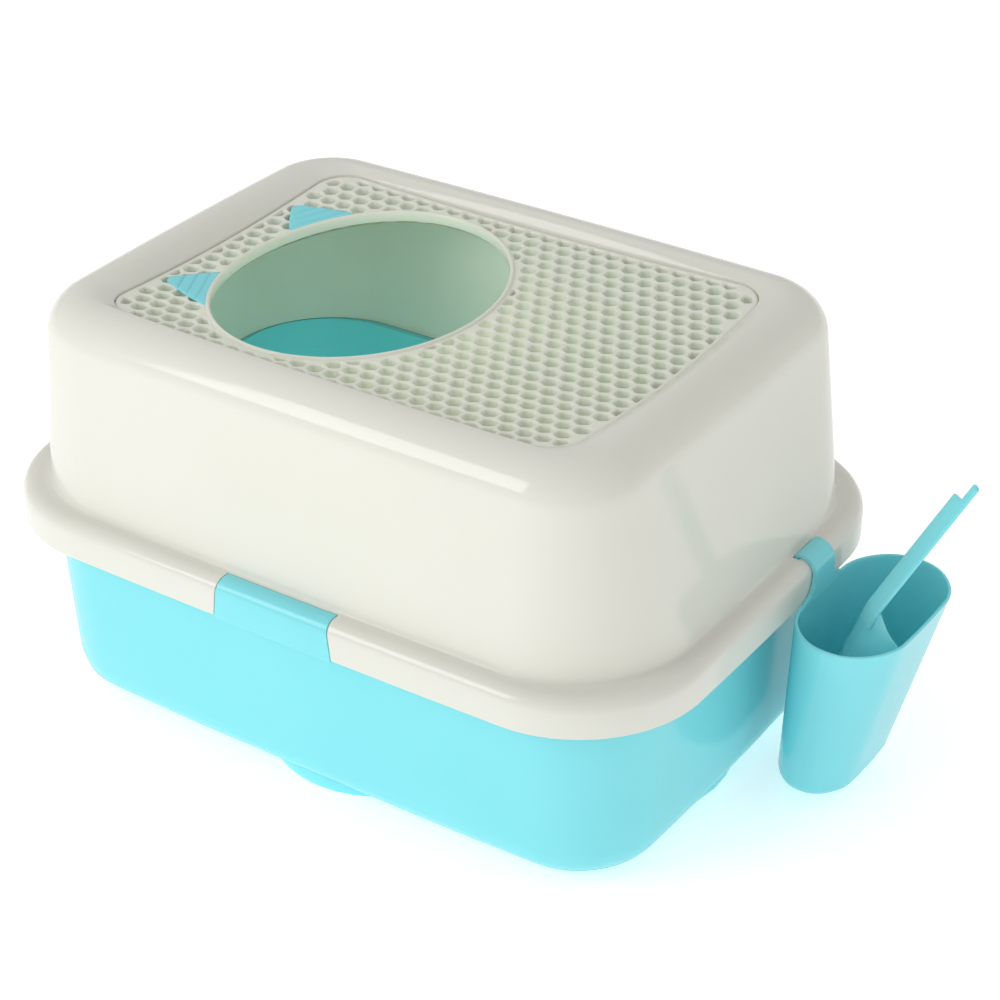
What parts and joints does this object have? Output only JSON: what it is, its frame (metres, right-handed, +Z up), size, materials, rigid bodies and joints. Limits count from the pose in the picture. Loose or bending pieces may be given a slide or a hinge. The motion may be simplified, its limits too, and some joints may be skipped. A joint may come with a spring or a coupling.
{
  "type": "top entry litter box",
  "caption": "Two-part litter box for cats with a domed hood, an oval entry hole in a honeycomb top, side clips and a hung bucket that holds a scoop.",
  "frame": {"origin": "centre of the tub's footprint, on the ground under its plinth", "axes": "+Z up; X along the long side, the bucket hangs at +X; -Y is the long side seen at the front of the picture"},
  "size_m": [0.6303, 0.378, 0.312],
  "materials": {
    "tub": "glossy polypropylene, aqua",
    "hood": "glossy polypropylene, off-white",
    "top_panel": "glossy polypropylene, off-white with a green tinge",
    "ear": "glossy polypropylene, aqua",
    "clip": "glossy polypropylene, aqua",
    "pin": "drawn wire, unplated",
    "bucket": "glossy polypropylene, aqua",
    "scoop": "glossy polypropylene, aqua"
  },
  "bodies": {
    "tub": {"tub": "tub", "clip_pin_front": "pin", "clip_pin_back": "pin"},
    "hood": {"hood": "hood"},
    "panel": {"top_panel": "top_panel", "ear_front": "ear", "ear_back": "ear"},
    "clip_front": {"clip_front": "clip"},
    "clip_back": {"clip_back": "clip"},
    "bucket": {"bucket": "bucket"},
    "scoop": {"scoop": "scoop"}
  },
  "joints": [
    {"name": "hood_lift", "type": "slide", "parent": "tub", "child": "hood", "axis": [0, 0, 1], "range_m": [0, 0.06]},
    {"name": "panel_lift", "type": "slide", "parent": "hood", "child": "panel", "axis": [0, 0, 1], "range_m": [0, 0.04]},
    {"name": "clip_front_turn", "type": "hinge", "parent": "tub", "child": "clip_front", "pos_m": [0, -0.1805, 0.146], "axis": [1, 0, 0], "range_deg": [0, 100]},
    {"name": "clip_back_turn", "type": "hinge", "parent": "tub", "child": "clip_back", "pos_m": [0, 0.1805, 0.146], "axis": [-1, 0, 0], "range_deg": [0, 100]},
    {"name": "bucket_lift", "type": "slide", "parent": "hood", "child": "bucket", "axis": [0.0872, 0, 0.9962], "range_m": [0, 0.03]},
    {"name": "scoop_lift", "type": "slide", "parent": "bucket", "child": "scoop", "axis": [0, 0, 1], "range_m": [0, 0.15]}
  ]
}
